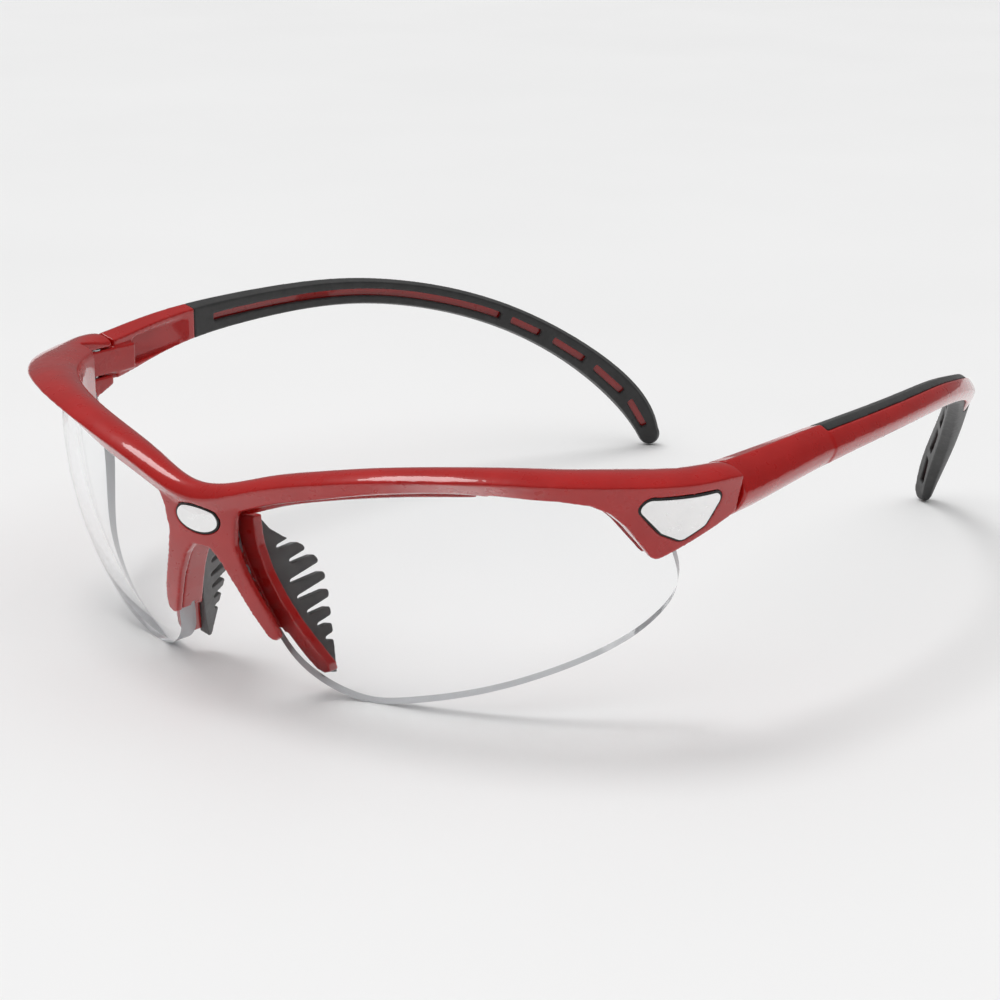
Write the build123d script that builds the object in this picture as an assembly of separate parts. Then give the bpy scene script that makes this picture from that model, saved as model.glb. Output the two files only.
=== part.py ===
"""Half-rim sports protective eyewear: brow frame, two lenses, nose arms and pads, folding temples.

Millimetres.  +Z is up, -Y is the wearer's forward direction, +X is the wearer's left.
The object stands on its lens edges and temple tips, as on a table, with the floor at z = 0.
"""
from build123d import *
from math import sin, cos, sqrt, radians
import os

# ---- driving dimensions -------------------------------------------------------------------
CENTRE_SHIFT = -34.867    # moves the hinge seams (y = 0) forward so that the box is centred

BROW_HALF = 68.5          # half width of the brow's outer crease
BROW_WRAP = 45.0          # how far the brow wraps back from the bridge to the seam
LENS_CENTRE = (6.6, 20.2, 32.3)
LENS_R = 62.0             # outer radius of the lens's sphere
LENS_T = 2.2              # lens thickness
LIP = 1.0                 # wall of the frame in front of and behind the lens
SLOT = 0.08               # play of the lens in its slot

FACE_CENTRE = (0, 30.0, 34.0)
FACE_R = 73.6             # front face of the bridge and legs
BRIDGE_T = 3.6            # depth of the bridge

AXIS_X, AXIS_Y = 62.5, -5.5   # hinge axis
TONGUE_R = 3.15           # knuckle of the temple's tongue
TONGUE_LOW, TONGUE_HIGH = 31.9, 36.3
INNER_X = 61.25           # flat inner side of the hinge
KNUCKLE_GAP = 0.3
WASHER_T = 0.22
SCREW_R = 0.7
SCREW_PLAY = 0.05
SEAM_Y = -2.2             # rear face of the front, at the seam
SEAM_GAP = 0.35

GRIP_START = 20.3         # where the soft over-mould begins
GRIP_T = 1.0              # its thickness over the hard core
PANEL_PROUD = 0.2         # how far the hard outer panel stands out of the over-mould
PANEL_WIDTH = 0.62        # share of each outer arc of the section that the panel covers
CORE_LOW = 3.2            # height above the floor at which the core ends inside the tip

# brow stations: angle round the wrap, crease height, height of the front face's lower edge,
# total depth, rise of the top above the crease
BROW = [
    (0, 30.6, 27.6, 5.2, 2.1),
    (5, 31.7, 28.8, 5.6, 1.8),
    (11, 34.0, 31.4, 6.2, 1.5),
    (18, 35.9, 33.4, 6.5, 1.3),
    (25, 37.2, 35.0, 6.6, 1.3),
    (32, 38.0, 35.9, 6.9, 1.3),
    (40, 38.4, 36.0, 7.5, 1.3),
    (47, 38.4, 34.4, 8.1, 1.3),
    (55, 38.1, 30.0, 8.6, 1.3),
    (63, 37.8, 26.4, 8.9, 1.3),
    (71, 37.4, 24.4, 8.7, 1.3),
    (79, 37.2, 23.6, 7.7, 1.3),
    (87, 37.0, 23.4, 7.2, 1.3),
]
# lower edge of the brow's end on its front face, and the direction it is trimmed in
END_EDGE = [
    (44.5, -30.3, 36.0), (50.7, -24.4, 35.7), (53.6, -21.3, 35.0), (55.6, -19.0, 33.6),
    (57.3, -16.8, 31.2), (58.9, -14.2, 27.6), (59.7, -12.9, 25.8), (60.1, -12.2, 25.4),
    (60.6, -11.4, 25.6), (66.6, -2.0, 31.4), (67.6, 0.0, 32.6),
]
END_TRIM = Vector(0.88, -0.47, 0)
REAR_DROP = 3.9           # depth of the rear lip below the crease along the brow
REAR_TOP = 0.7            # top corner of the rear face below the crease
TOP_EASE = 0.3            # chamfer between the top and the rear face
BRIDGE_ANGLE = 4          # no lens lies behind the brow inside this angle
BRIDGE_FRONT = 1.9        # set-back of the front face's lower edge there

# temple stations: x, y, z of the centre line, height, thickness
TEMPLE = [
    (64.9, -1.8, 34.2, 8.4, 7.0),
    (65.9, 6.0, 35.0, 7.8, 6.4),
    (66.6, 15.0, 35.9, 7.0, 5.4),
    (66.8, 28.0, 36.5, 6.1, 4.7),
    (65.8, 45.0, 36.5, 5.4, 4.3),
    (63.1, 61.0, 35.6, 5.0, 4.1),
    (58.3, 76.0, 32.8, 4.9, 4.0),
    (50.8, 90.0, 27.6, 5.0, 4.0),
    (42.2, 103.0, 18.8, 5.4, 4.0),
    (34.9, 111.2, 8.9, 5.8, 3.8),
    (31.7, 113.3, 2.2, 4.4, 2.8),
]
PANEL_END = 7             # station where the outer panel ends

# lens edge in the front view, each point lying on the lens's outer sphere: x, z
LENS_MIDDLE = (37, 19)
LENS_OUTLINE = [
    (8.2, 31.9), (12, 33.4), (20, 35.2), (28, 36.8), (36, 37.3), (44, 37.2), (51, 36.4),
    (56.5, 34.4), (60.0, 30.4), (60.9, 25.5), (60.7, 20.2), (58.2, 15.2), (52.6, 10.1),
    (47, 7.0), (40.9, 4.4), (34.2, 2.3), (27.5, 0.7), (22, 0), (18.5, 0.8), (15.2, 2.6),
    (12.4, 5.4), (10.6, 9.4), (9.3, 13.5), (7.6, 18.5), (6.3, 23.0), (6.1, 27.5),
]
LEG_OUTLINE = [
    (8.9, 31.5), (7.3, 28.3), (6.7, 24.3), (7.9, 20.2), (9.3, 16.9), (10.5, 14.2), (11.4, 11.4),
    (11.5, 10.1), (10.7, 9.3), (9.6, 9.6), (7.7, 13.2), (5.8, 17.2), (3.6, 21.0), (1.8, 22.9),
]

ARM_REAR_R = 58.1         # rear face of the nose arm, about the lens's centre
ARM_OUTLINE = [
    (2.1, 28.3), (2.3, 24.2), (5.4, 19.5), (7.6, 15.2), (9.8, 10.6), (11.8, 6.4), (13.1, 4.0),
    (14.2, 3.5), (15.3, 3.9), (15.6, 5.2), (14.6, 7.6), (12.6, 11.6), (10.8, 15.6), (9.2, 19.8),
    (8.2, 24.0), (8.0, 28.3),
]
WEB_OUTLINE = [
    (2.6, 23.2), (3.6, 21.6), (5.8, 17.4), (7.7, 13.4), (9.6, 9.8), (12.0, 9.8), (8.0, 19.0),
    (6.9, 23.2),
]
CELL_TOP = 23.2           # the bridge is solid above this height
PAD_T = 2.0
PAD_ORIGIN = (8.4, -35.6, 15.0)
PAD_BACK = Vector(0.27, 0.96, 0).normalized()
PAD_DOWN = Vector(7.6, 6.4, -22.0)
PAD_NORMAL = PAD_BACK.cross(PAD_DOWN).normalized()
PAD_OUTLINE = [
    (-6, -12), (-6, 12.6), (7.9, 12.6), (8.1, 8.7), (8.3, 3.5), (8.4, 0.75), (8.2, -2),
    (7.3, -4.7), (5.1, -7.1), (2.2, -8.8), (0.2, -10.3), (-1, -12),
]
# roots of the gaps between the fins: towards the back, downwards
PAD_GAPS = [(1.2, -7.4), (3.0, -5.0), (2.6, -2.0), (3.4, 0.6), (4.7, 3.0), (6.1, 5.2), (7.2, 7.4)]
PAD_TILT = -14            # slope of the fins
PAD_ROOT, PAD_MOUTH = 0.35, 1.0   # radii of a gap at its root and at its mouth
PAD_REACH = 9.0
FIN_ROUND = 0.42
FIN_START = 4.0           # only corners further back than this are rounded
BADGE_Z = 27.4
BADGE_DEPTH = 0.9
TAPE_T = 0.2
BADGE_PROUD = 0.12
SIDE_BADGE = [
    (-6.4, -2.2), (5.9, -2.1), (3.6, -7.4), (0.2, -9.6), (-3.2, -8.1), (-7.6, -3.9),
]
SIDE_BADGE_ROUND = 1.2
BADGE_RIM = 0.35          # width of the black edge round a badge
SCREW_LOW, SCREW_HIGH = 29.4, 37.4
SCREW_HEAD_R = 1.1
SLOT_W = 1.3
# windows in the grip's inner face: start, end (shares of the temple's length), sections
SLOTS = [
    (0.2, 0.697, 8), (0.715, 0.765, 2), (0.788, 0.845, 2), (0.865, 0.922, 2), (0.94, 0.985, 2),
]



def spheric(centre, radius):
    return Pos(*centre) * Sphere(radius)


def front_prism(outline, y_front=-60.0, y_back=0.0):
    """A closed outline drawn in the front view (x, z), extruded front to back."""
    face = make_face(Plane.XZ * outline)
    return extrude(Pos(0, y_back, 0) * face, amount=y_back - y_front, dir=(0, -1, 0))


def brow_plane(angle, height):
    a = radians(angle)
    nx, ny = BROW_WRAP * sin(a), -BROW_HALF * cos(a)
    n = sqrt(nx * nx + ny * ny)
    out = Vector(nx / n, ny / n, 0)
    origin = (BROW_HALF * sin(a), -BROW_WRAP * cos(a), height)
    return Plane(origin=origin, x_dir=out, z_dir=out.cross(Vector(0, 0, 1)))


def lens_distance(angle, height, radius):
    """Horizontal distance from the brow's crease back to a sphere about the lens's centre."""
    plane = brow_plane(abs(angle), height)
    out, start = plane.x_dir, plane.origin - Vector(*LENS_CENTRE)
    b = start.X * out.X + start.Y * out.Y
    c = start.X ** 2 + start.Y ** 2 + start.Z ** 2 - radius ** 2
    return b - sqrt(b * b - c)


def brow_section(angle, crease, low, depth, rise):
    drop = crease - low
    front = lens_distance(angle, low, LENS_R + LIP) if abs(angle) > BRIDGE_ANGLE else BRIDGE_FRONT
    rear = max(REAR_DROP, drop + TOP_EASE)
    back = Line((-depth, -REAR_TOP), (-depth, -rear))
    top = ThreePointArc((0, 0), (-0.5 * depth, rise), (-depth + TOP_EASE, TOP_EASE))
    lines = [top, Line(top @ 1, back @ 0), back, Line(back @ 1, (-front, -drop)),
             Line((-front, -drop), (0, 0))]
    return brow_plane(angle, crease) * make_face(lines)


def brow_bar():
    rows = [(-a, *rest) for a, *rest in reversed(BROW[1:])] + BROW
    return loft([brow_section(*row) for row in rows])


def temple_frame(points, i):
    """Plane across the temple at station i: x outward, y up."""
    here = Vector(*points[i][:3])
    before = Vector(*points[max(i - 1, 0)][:3])
    after = Vector(*points[min(i + 1, len(points) - 1)][:3])
    along = (after - before).normalized()
    flat = Vector(along.Y, -along.X, 0).normalized()
    return Plane(origin=here, x_dir=flat, z_dir=-along)


def temple_section(i, shrink=0.0, proud=0.0):
    """Flat inner side, and two outer arcs that meet in a crease."""
    h, t = TEMPLE[i][3] / 2 - shrink, TEMPLE[i][4] / 2
    inner, outer, ridge, edge = shrink - t, t + proud, -0.1 * t, 0.8 * h
    top = ThreePointArc((outer, 0), (0.45 * outer, 0.72 * h), (ridge, h))
    low = ThreePointArc((ridge, -h), (0.45 * outer, -0.72 * h), (outer, 0))
    lines = [top, Line((ridge, h), (inner, edge)), Line((inner, edge), (inner, -edge)),
             Line((inner, -edge), (ridge, -h)), low]
    return temple_frame(TEMPLE, i) * make_face(lines)


def core_section(i):
    """Hard core under the over-mould, carrying the outer panel as far as PANEL_END."""
    h, t = TEMPLE[i][3] / 2, TEMPLE[i][4] / 2
    grow = PANEL_PROUD if i <= PANEL_END else -GRIP_T
    outer, high = t + grow, h + grow
    whole = ThreePointArc((outer, 0), (0.45 * outer, 0.72 * high), (-0.1 * t, high))
    middle, end = whole @ (PANEL_WIDTH / 2), whole @ PANEL_WIDTH
    inner, ridge, edge = GRIP_T - t, -0.1 * t, 0.8 * (h - GRIP_T)
    top = ThreePointArc((outer, 0), middle, end)
    low = ThreePointArc((end.X, -end.Y), (middle.X, -middle.Y), (outer, 0))
    flank = Polyline((end.X, end.Y), (ridge, h - GRIP_T), (inner, edge), (inner, -edge),
                     (ridge, GRIP_T - h), (end.X, -end.Y))
    return temple_frame(TEMPLE, i) * make_face([top, *flank.edges(), low])


def temple_envelope():
    """The temple's outside with a rounded tip."""
    last = len(TEMPLE) - 1
    end = temple_frame(TEMPLE, last)
    half = temple_section(last) & (end * Pos(0, TEMPLE[last][3]) * Rectangle(20, 2 * TEMPLE[last][3]))
    cap = revolve(half, Axis(end.origin, end.x_dir), 360)
    return loft([temple_section(i) for i in range(len(TEMPLE))]) + cap


def shell(centre, outer, inner):
    return spheric(centre, outer) - spheric(centre, inner)


def behind(limit):
    """Everything behind y = limit."""
    return Pos(0, limit + 100, 0) * Box(300, 200, 200)


def both_sides(points):
    """An outline of one half, closed by its mirror image across x = 0."""
    return points + [(-x, z) for x, z in reversed(points)]


# ---- lens ---------------------------------------------------------------------------------
def on_lens(x, z):
    """The point of the lens's outer sphere that is seen at (x, z) from the front."""
    cx, cy, cz = LENS_CENTRE
    return Vector(x, cy - sqrt(LENS_R ** 2 - (x - cx) ** 2 - (z - cz) ** 2), z)


def lens(grow=0.0):
    """Spherical sheet trimmed along the line of sight through its middle."""
    centre = Vector(*LENS_CENTRE)
    sight = (on_lens(*LENS_MIDDLE) - centre).normalized()
    plane = Plane(origin=centre, z_dir=sight)
    points = [plane.to_local_coords(on_lens(x, z)) for x, z in LENS_OUTLINE]
    edge = Spline(*[(p.X, p.Y) for p in points], periodic=True)
    sheet = shell(LENS_CENTRE, LENS_R + grow, LENS_R - LENS_T - grow)
    return sheet & extrude(plane * make_face(edge), amount=2 * LENS_R, dir=sight)


# ---- nose arm and pad ---------------------------------------------------------------------
def nose_arm(frame):
    """Flange behind the lens with a web round the lens's nose edge, and a peg into the bridge."""
    rear = shell(LENS_CENTRE, LENS_R - LENS_T - SLOT, ARM_REAR_R)
    flange = rear & front_prism(Polyline(*ARM_OUTLINE, close=True), y_back=-20)
    wall = shell(LENS_CENTRE, LENS_R, ARM_REAR_R)
    web = wall & front_prism(Polyline(*WEB_OUTLINE, close=True), y_back=-20)
    return (flange + web - lens(SLOT) - frame) + arm_peg()


def arm_peg():
    return Pos(3.3, -40.2, 25.4) * Rot(90, 0, 0) * Cylinder(0.8, 3.0)


def pad_gap():
    """Tapering gap between two fins, rounded at its root."""
    root, mouth = Circle(PAD_ROOT), Pos(PAD_REACH, 0) * Circle(PAD_MOUTH)
    return Rot(0, 0, PAD_TILT) * make_hull(root.edges() + mouth.edges())


def nose_pad():
    """Soft comb: a plate behind the nose arm whose rear edge is cut into rounded fins."""
    comb = make_face(Polyline(*PAD_OUTLINE, close=True))
    for root in PAD_GAPS:
        comb -= Pos(*root) * pad_gap()
    kept = PAD_OUTLINE + PAD_GAPS
    tips = [v for v in comb.vertices() if v.X > FIN_START and
            all(sqrt((v.X - x) ** 2 + (v.Y - y) ** 2) > PAD_ROOT + 0.05 for x, y in kept)]
    comb = fillet(tips, FIN_ROUND)
    plane = Plane(origin=PAD_ORIGIN, x_dir=PAD_BACK, z_dir=PAD_NORMAL)
    return extrude(plane * comb, amount=PAD_T / 2, both=True) & spheric(LENS_CENTRE, ARM_REAR_R - 0.02)


# ---- badges -------------------------------------------------------------------------------
def badge_parts(plane, inner, outer, body):
    """Silver inlay, the black adhesive cup that holds it, and the pocket for both."""
    def block(face, floor):
        return extrude(plane * Pos(0, 0, -floor) * face, amount=floor + 2.5)

    badge = block(inner, BADGE_DEPTH - TAPE_T)
    cup = (block(outer, BADGE_DEPTH) & body) - badge
    top = Pos(*(plane.z_dir * BADGE_PROUD)) * body
    return badge & top, cup, block(outer, BADGE_DEPTH)


def bridge_badge(body):
    plane = Plane(origin=(0, -43.2, BADGE_Z), x_dir=(1, 0, 0), z_dir=(0, -1, -0.09))
    return badge_parts(plane, Ellipse(4.1, 2.1), Ellipse(4.1 + BADGE_RIM, 2.1 + BADGE_RIM), body)


def side_badge(body):
    plane = Plane(origin=(66.2, -11.65, 37.3), x_dir=(0.377, 0.926, 0), z_dir=(0.84, -0.342, -0.42))
    inner = make_face(FilletPolyline(*SIDE_BADGE, radius=SIDE_BADGE_ROUND, close=True))
    return badge_parts(plane, inner, offset(inner, BADGE_RIM), body)


# ---- hinge --------------------------------------------------------------------------------
def upright(radius, low, high):
    return Pos(AXIS_X, AXIS_Y, (low + high) / 2) * Cylinder(radius, high - low)


def slab(x, y, z):
    """Box from three (low, high) pairs."""
    size = [b - a for a, b in (x, y, z)]
    return Pos(*[(a + b) / 2 for a, b in (x, y, z)]) * Box(*size)


def hinge_pocket():
    """Room for the tongue between the two ears, open to the wearer's side and to the seam."""
    r = TONGUE_R + KNUCKLE_GAP
    z = (TONGUE_LOW - KNUCKLE_GAP, TONGUE_HIGH + KNUCKLE_GAP)
    room = upright(r, *z) + slab((AXIS_X - 9, AXIS_X), (AXIS_Y - r, 5), z)
    return room + slab((AXIS_X - 1, AXIS_X + r), (AXIS_Y, 5), z)


def tongue():
    z = (TONGUE_LOW, TONGUE_HIGH)
    solid = upright(TONGUE_R, *z) + slab((AXIS_X - 2, AXIS_X + TONGUE_R), (AXIS_Y, 3.0), z)
    return solid & slab((INNER_X, 90), (-20, 20), (0, 60))


def hinge_screw():
    return upright(SCREW_R, SCREW_LOW + 0.5, SCREW_HIGH) + upright(SCREW_HEAD_R, SCREW_LOW, SCREW_LOW + 1.0)


def hinge_washer():
    low = TONGUE_HIGH + (KNUCKLE_GAP - WASHER_T) / 2
    return upright(1.2, low, low + WASHER_T) - upright(SCREW_R + SCREW_PLAY, low - 1, low + 1)


# ---- front --------------------------------------------------------------------------------
def end_trim():
    """Everything below the lower edge of the brow's end."""
    plane = Plane(origin=(60, -12, 30), z_dir=END_TRIM)
    edge = [plane.to_local_coords(Vector(*p)) for p in END_EDGE]
    low = [plane.to_local_coords(Vector(*p[:2], 10)) for p in (END_EDGE[-1], END_EDGE[0])]
    face = make_face(Polyline(*[(p.X, p.Y) for p in edge + low], close=True))
    return extrude(plane * face, amount=30, both=True)


def front_frame():
    bar = brow_bar()
    below = end_trim()
    bar = bar - below - mirror(below, Plane.YZ)
    legs = shell(FACE_CENTRE, FACE_R, FACE_R - BRIDGE_T) & front_prism(
        Polyline(*both_sides(LEG_OUTLINE), close=True), y_back=-20)
    solid = (bar & slab((-90, 90), (-60, SEAM_Y), (0, 60))) + legs
    for side in (1, -1):
        cell = spheric(LENS_CENTRE, LENS_R + SLOT) & slab((2.0, 14), (-60, 0), (0, CELL_TOP))
        cuts = [lens(SLOT), cell, hinge_pocket(), hinge_screw(), slab((50, INNER_X), (-9.6, 5), (0, 60)),
                upright(SCREW_HEAD_R, 20, SCREW_LOW)]
        for cut in cuts:
            solid -= cut if side > 0 else mirror(cut, Plane.YZ)
    return solid


# ---- temple -------------------------------------------------------------------------------
def temple_parts():
    """Hard red core with its tongue and outer panel, and the soft grip moulded over it."""
    envelope = temple_envelope() & slab((0, 90), (SEAM_Y + SEAM_GAP, 200), (-1, 60))
    inner = loft([core_section(i) for i in range(len(TEMPLE))])
    rear = inner & slab((0, 90), (GRIP_START, 200), (CORE_LOW, 60))
    grip = (envelope & behind(GRIP_START)) - rear
    for cut in slots():
        grip -= cut
    core = (envelope - behind(GRIP_START)) + rear - recess() + tongue()
    core -= upright(SCREW_R + SCREW_PLAY, 0, 60)
    return core, grip


def recess():
    """Oval hollow in the inner face behind the hinge."""
    plane = Plane(origin=(60, 10.8, 35.2), x_dir=(0, 1, 0.08), z_dir=(1, 0, 0))
    return extrude(plane * SlotOverall(17.0, 4.6), amount=4.2)


def slots():
    """Windows in the grip's inner face: one long slot, then short dashes towards the tip."""
    path = Spline(*[(x, y, z) for x, y, z, _, _ in TEMPLE])
    cutters = []
    for start, end, count in SLOTS:
        frames = []
        for k in range(count):
            u = start + (end - start) * k / (count - 1)
            along = path % u
            flat = Vector(along.Y, -along.X, 0).normalized()
            frame = Plane(origin=path @ u, x_dir=flat, z_dir=-along)
            frames.append(frame * (Pos(-2.2, 0) * Rectangle(3.8, SLOT_W)))
        cutters.append(loft(frames))
    return cutters


def write(name, shape):
    export_step(Pos(0, CENTRE_SHIFT, 0) * shape, f"parts/{name}.step")


def write_pair(name, shape):
    """The wearer's left piece and its mirror image."""
    write("left_" + name, shape)
    write("right_" + name, mirror(shape, Plane.YZ))


def main():
    os.makedirs("parts", exist_ok=True)
    frame = front_frame()
    badge, tape, pocket = bridge_badge(frame)
    end_badge, end_tape, end_pocket = side_badge(frame)
    frame = frame - pocket - end_pocket - mirror(end_pocket, Plane.YZ)
    arm = nose_arm(frame)
    frame = frame - arm_peg() - mirror(arm_peg(), Plane.YZ)
    core, grip = temple_parts()

    write("front_frame", max(frame.solids(), key=lambda solid: solid.volume))
    write("bridge_badge", badge)
    write("bridge_badge_tape", tape)
    pairs = {
        "lens": lens(), "nose_arm": arm, "nose_pad": nose_pad(), "badge": end_badge,
        "badge_tape": end_tape, "temple_core": core, "temple_grip": grip,
        "hinge_screw": hinge_screw(), "hinge_washer": hinge_washer(),
    }
    for name, shape in pairs.items():
        write_pair(name, shape)


main()
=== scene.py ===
"""Half-rim sports protective glasses: rounded mouldings, clear lenses and soft rubber on a CAD frame."""
from math import radians

import bpy
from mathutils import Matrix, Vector


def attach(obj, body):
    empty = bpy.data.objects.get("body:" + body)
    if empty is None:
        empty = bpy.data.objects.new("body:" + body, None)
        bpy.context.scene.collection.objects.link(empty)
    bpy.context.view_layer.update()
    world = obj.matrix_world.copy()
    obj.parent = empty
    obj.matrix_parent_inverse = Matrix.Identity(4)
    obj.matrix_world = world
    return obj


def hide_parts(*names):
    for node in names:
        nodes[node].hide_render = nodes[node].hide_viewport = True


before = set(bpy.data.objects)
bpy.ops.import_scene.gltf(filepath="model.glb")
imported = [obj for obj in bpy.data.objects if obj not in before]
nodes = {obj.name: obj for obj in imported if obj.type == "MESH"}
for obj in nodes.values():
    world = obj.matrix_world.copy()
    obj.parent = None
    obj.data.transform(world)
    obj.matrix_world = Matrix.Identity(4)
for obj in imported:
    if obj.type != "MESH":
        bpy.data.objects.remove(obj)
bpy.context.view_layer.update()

MM = 0.001

# ---- driving values ---------------------------------------------------------------------------
FRAME_VOXEL, CORE_VOXEL, ARM_VOXEL, PAD_VOXEL = 0.22, 0.20, 0.16, 0.14    # grain of a remesh, mm
LENS_CENTRE = (6.6, -14.667, 32.3)       # middle of the sphere the left lens is cut from, mm
EDGE_CLARITY = 0.25                      # share of light that passes the lens's frosted edge
EDGE_TINT = (0.52, 0.53, 0.55, 1)
ALL_EDGE, ALL_FACE = 0.75, 0.9           # how squarely a surface faces the lens's centre

PAPER_HALF = 4.0                         # metres
WIDE_POWER, WIDE_SPREAD = 2.2, 120       # spreads are the angle a light fills, degrees
STRIP_POWER, STRIP_SPREAD = 0.75, 22
ROOM_LIGHT = 0.17

AZIMUTH, ELEVATION = 39.05, 16.465       # degrees
LENS_LENGTH, SENSOR = 96.37, 36          # the camera's, mm
CAMERA = (270.46, -341.18, 140.82)       # from the point below the object's middle, mm


# ---- materials --------------------------------------------------------------------------------
class Material:
    """A node material with short helpers for its tree."""

    def __init__(self, name):
        self.mat = bpy.data.materials.new(name)
        self.mat.use_nodes = True
        self.tree = self.mat.node_tree
        self.shader = self.tree.nodes["Principled BSDF"]

    def node(self, kind, **values):
        made = self.tree.nodes.new(kind)
        for key, value in values.items():
            if key in made.inputs:
                made.inputs[key].default_value = value
            else:
                setattr(made, key, value)
        return made

    def join(self, source, output, target, socket):
        self.tree.links.new(source.outputs[output], target.inputs[socket])

    def set(self, **values):
        for key, value in values.items():
            self.shader.inputs[key.replace("_", " ")].default_value = value

    def noise(self, scale, detail, roughness=0.5, stretch=(1, 1, 1)):
        place = self.node("ShaderNodeTexCoord")
        mapping = self.node("ShaderNodeMapping", Scale=stretch)
        made = self.node("ShaderNodeTexNoise", Scale=scale, Detail=detail, Roughness=roughness)
        self.join(place, "Object", mapping, "Vector")
        self.join(mapping, "Vector", made, "Vector")
        return made

    def ramp(self, source, output, low, high):
        """Colours between two stops, each a place and a colour."""
        made = self.node("ShaderNodeValToRGB")
        for element, (place, colour) in zip(made.color_ramp.elements, (low, high)):
            element.position = place
            element.color = colour
        self.join(source, output, made, "Fac")
        return made

    def drive(self, socket, noise, low, high):
        """Vary one of the shader's sockets with a noise."""
        ramp = self.ramp(noise, "Fac", low, high)
        self.join(ramp, "Color", self.shader, socket)

    def bump(self, noise, strength, distance):
        made = self.node("ShaderNodeBump", Strength=strength, Distance=distance)
        self.join(noise, "Fac", made, "Height")
        self.join(made, "Normal", self.shader, "Normal")


def grey(value):
    return (value, value, value, 1)


def red_lacquer():
    """Candy red under a clear coat, with faint flow mottling and orange peel."""
    m = Material("red_lacquer")
    m.set(Coat_Weight=0.9, Coat_Roughness=0.04, Coat_IOR=1.5, IOR=1.45, Specular_IOR_Level=0.3)
    m.drive("Base Color", m.noise(180, 3), (0.3, (0.42, 0.006, 0.005, 1)), (0.7, (0.48, 0.008, 0.007, 1)))
    m.drive("Roughness", m.noise(500, 2), (0.3, grey(0.26)), (0.7, grey(0.34)))
    m.bump(m.noise(900, 2), 0.05, 0.00005)
    return m.mat


def facing_centre(m, centre):
    """1 on surfaces that face the centre or look away from it, 0 on surfaces in line with it."""
    place = m.node("ShaderNodeTexCoord")
    spoke = m.node("ShaderNodeVectorMath", operation="SUBTRACT")
    spoke.inputs[1].default_value = centre
    unit = m.node("ShaderNodeVectorMath", operation="NORMALIZE")
    product = m.node("ShaderNodeVectorMath", operation="DOT_PRODUCT")
    size = m.node("ShaderNodeMath", operation="ABSOLUTE")
    m.join(place, "Object", spoke, 0)
    m.join(spoke, "Vector", unit, 0)
    m.join(unit, "Vector", product, 0)
    m.join(place, "Normal", product, 1)
    m.join(product, "Value", size, 0)
    return size


def clear_lens(name, centre):
    """Polycarbonate sheet about a centre: clear through its faces, frosted grey on its cut edge."""
    m = Material(name)
    m.set(IOR=1.08)
    face = facing_centre(m, centre)
    tone = m.ramp(m.noise(60, 2), "Fac", (0.2, (0.97, 0.975, 0.98, 1)), (0.8, (0.985, 0.99, 0.99, 1)))
    tint = m.node("ShaderNodeMix", data_type="RGBA")
    factor, first, second = tint.inputs[0], tint.inputs[6], tint.inputs[7]
    edge = m.ramp(face, "Value", (ALL_EDGE, grey(1)), (ALL_FACE, grey(0)))
    m.tree.links.new(edge.outputs["Color"], factor)
    m.tree.links.new(tone.outputs["Color"], first)
    second.default_value = EDGE_TINT
    m.tree.links.new(tint.outputs[2], m.shader.inputs["Base Color"])
    m.drive("Roughness", m.noise(700, 4), (0.35, grey(0.0)), (0.75, grey(0.02)))
    clear = m.ramp(face, "Value", (ALL_EDGE, grey(EDGE_CLARITY)), (ALL_FACE, grey(1)))
    m.join(clear, "Color", m.shader, "Transmission Weight")
    return m.mat


def elastomer(name, dark, light):
    """Charcoal elastomer with a fine spark-eroded grain."""
    m = Material(name)
    m.set(Specular_IOR_Level=0.45, Sheen_Weight=0.1, Sheen_Roughness=0.5)
    m.drive("Base Color", m.noise(420, 5), (0.3, grey(dark)), (0.7, grey(light)))
    m.drive("Roughness", m.noise(1200, 3), (0.3, grey(0.44)), (0.7, grey(0.56)))
    m.bump(m.noise(3800, 3), 0.2, 0.00008)
    return m.mat


def satin_silver():
    """Brushed silver inlay."""
    m = Material("satin_silver")
    m.set(Metallic=0.9)
    m.drive("Base Color", m.noise(300, 4), (0.25, grey(0.92)), (0.75, (0.98, 0.98, 0.975, 1)))
    grain = m.noise(2600, 3, 0.6, (1, 0.12, 1))
    m.drive("Roughness", grain, (0.3, grey(0.26)), (0.7, grey(0.44)))
    m.bump(grain, 0.12, 0.00004)
    return m.mat


def black_bezel():
    """Matt black foam adhesive."""
    m = Material("black_bezel")
    m.drive("Base Color", m.noise(900, 4), (0.3, grey(0.006)), (0.7, grey(0.014)))
    m.drive("Roughness", m.noise(1500, 2), (0.3, grey(0.5)), (0.7, grey(0.75)))
    m.bump(m.noise(3000, 3), 0.3, 0.00008)
    return m.mat


def screw_steel():
    """Turned steel, streaked along the pin."""
    m = Material("screw_steel")
    m.set(Metallic=1.0)
    m.drive("Base Color", m.noise(500, 4), (0.3, grey(0.42)), (0.7, grey(0.60)))
    m.drive("Roughness", m.noise(1800, 3, stretch=(1, 1, 0.1)), (0.3, grey(0.22)), (0.7, grey(0.42)))
    m.bump(m.noise(2400, 2), 0.15, 0.00004)
    return m.mat


def studio_paper():
    m = Material("studio_paper")
    m.set(Roughness=0.55, Specular_IOR_Level=0.25)
    m.drive("Base Color", m.noise(9, 2), (0.3, grey(0.86)), (0.7, grey(0.88)))
    return m.mat


MATERIALS = {
    "red_gloss": red_lacquer(),
    "black_rubber": elastomer("soft_rubber", 0.022, 0.034),
    "silver": satin_silver(),
    "black_foam": black_bezel(),
    "screw_steel": screw_steel(),
}
PAD_RUBBER = elastomer("pad_rubber", 0.085, 0.120)


def dress(obj, material):
    obj.data.materials.clear()
    obj.data.materials.append(material)


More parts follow.
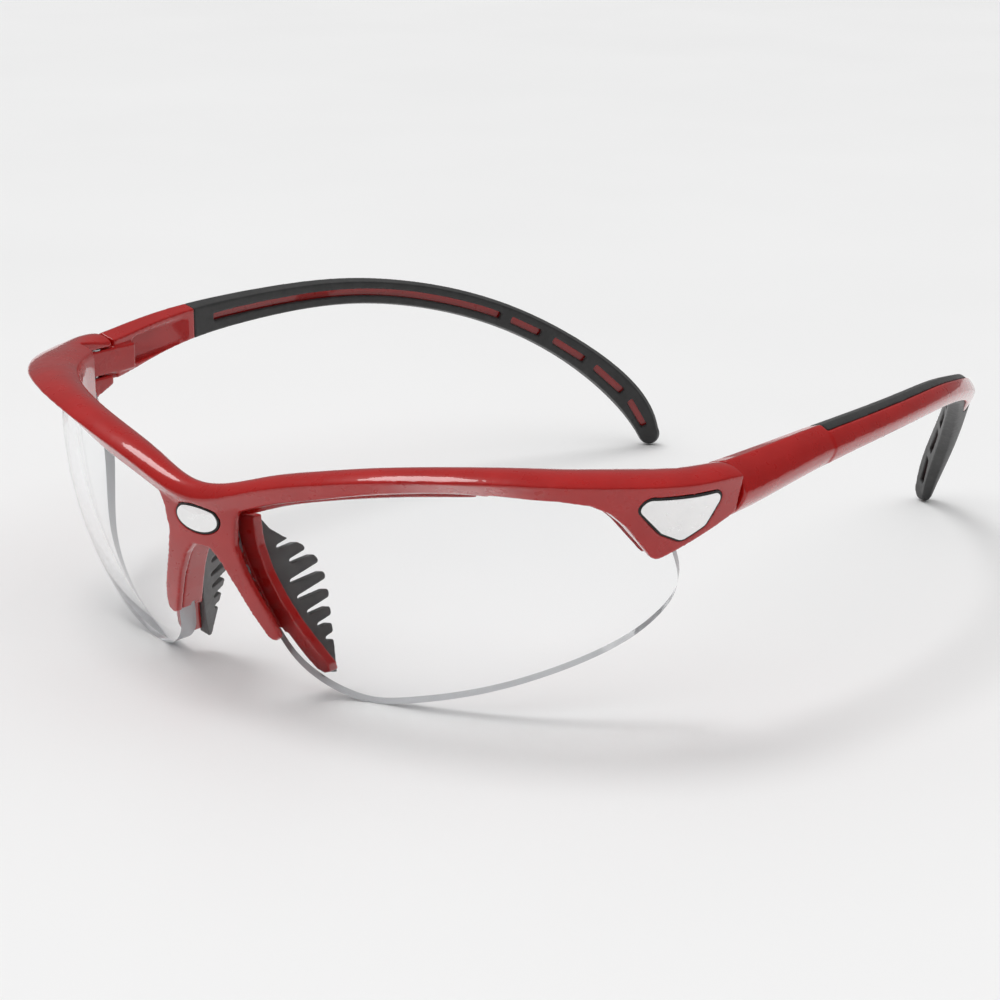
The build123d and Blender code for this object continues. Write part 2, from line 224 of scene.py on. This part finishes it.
# ---- mouldings: the CAD shapes with their edges rounded as in a mould ---------------------------
def apply_modifiers(obj):
    graph = bpy.context.evaluated_depsgraph_get()
    mesh = bpy.data.meshes.new_from_object(obj.evaluated_get(graph))
    obj.modifiers.clear()
    obj.data = mesh


def moulded(node, slot, body, voxel, rounds, material=None):
    """A copy of a CAD node, remeshed and smoothed so that every hard edge gets a small radius."""
    obj = bpy.data.objects.new(node + "_moulding", nodes[node].data.copy())
    bpy.context.scene.collection.objects.link(obj)
    remesh = obj.modifiers.new("remesh", "REMESH")
    remesh.mode = "VOXEL"
    remesh.voxel_size = voxel * MM * 1
    soften = obj.modifiers.new("soften", "SMOOTH")
    soften.factor = 0.5
    soften.iterations = rounds
    apply_modifiers(obj)
    for face in obj.data.polygons:
        face.use_smooth = True
    dress(obj, material or MATERIALS[slot])
    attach(obj, body)
    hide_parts(node)


moulded("front_frame", "red_gloss", "front", FRAME_VOXEL, 6)
for side in ("left", "right"):
    temple = side + "_temple"
    moulded(side + "_nose_arm", "red_gloss", "front", ARM_VOXEL, 5)
    moulded(side + "_nose_pad", "black_rubber", "front", PAD_VOXEL, 5, PAD_RUBBER)
    moulded(side + "_temple_core", "red_gloss", temple, CORE_VOXEL, 5)
    moulded(side + "_temple_grip", "black_rubber", temple, CORE_VOXEL, 4)


# ---- pieces shown as the CAD made them ----------------------------------------------------------
kept = {"bridge_badge": "silver", "bridge_badge_tape": "black_foam"}
for side in ("left", "right"):
    kept.update({
        side + "_badge": "silver",
        side + "_badge_tape": "black_foam",
        side + "_hinge_screw": "screw_steel",
        side + "_hinge_washer": "screw_steel",
    })
for name, slot in kept.items():
    dress(nodes[name], MATERIALS[slot])

for side, sign in (("left", 1), ("right", -1)):
    lens = nodes[side + "_lens"]
    middle = Vector((sign * LENS_CENTRE[0], *LENS_CENTRE[1:])) * MM
    dress(lens, clear_lens("clear_lens_" + side, lens.matrix_world.inverted() @ middle))


# ---- stage --------------------------------------------------------------------------------------
def paper_floor():
    """White studio paper."""
    mesh = bpy.data.meshes.new("studio_floor")
    half = PAPER_HALF
    corners = [(-half, -half, 0), (half, -half, 0), (half, half, 0), (-half, half, 0)]
    mesh.from_pydata(corners, [], [(0, 1, 2, 3)])
    obj = bpy.data.objects.new("studio_floor", mesh)
    bpy.context.scene.collection.objects.link(obj)
    mesh.materials.append(studio_paper())
    return obj


def overhead_light(name, direction, power, spread):
    """Soft source seen from every place at the same angle."""
    light = bpy.data.lights.new(name, "SUN")
    light.energy = power
    light.angle = radians(spread)
    obj = bpy.data.objects.new(name, light)
    obj.rotation_euler = Vector(direction).to_track_quat("Z", "Y").to_euler()
    bpy.context.scene.collection.objects.link(obj)
    return obj


def studio_room():
    """Dim even light from the whole room."""
    world = bpy.data.worlds.new("studio")
    world.use_nodes = True
    background = world.node_tree.nodes["Background"]
    background.inputs["Color"].default_value = grey(1)
    background.inputs["Strength"].default_value = ROOM_LIGHT
    bpy.context.scene.world = world
    bpy.context.scene.view_settings.view_transform = "Standard"


def product_camera():
    camera = bpy.data.objects.new("camera", bpy.data.cameras.new("camera"))
    camera.data.lens = LENS_LENGTH
    camera.data.sensor_width = SENSOR
    camera.data.clip_start = 0.01
    camera.location = Vector(CAMERA) * MM
    camera.rotation_euler = (radians(90 - ELEVATION), 0, radians(AZIMUTH))
    bpy.context.scene.collection.objects.link(camera)
    bpy.context.scene.camera = camera


paper_floor()
wide = overhead_light("wide_softbox", (-0.25, 0.1, 1), WIDE_POWER, WIDE_SPREAD)
wide.visible_glossy = False              # keeps the lacquer's reflections dark, as under a dark ceiling
overhead_light("strip_softbox", (-0.445, 0.025, 1), STRIP_POWER, STRIP_SPREAD)
studio_room()
product_camera()
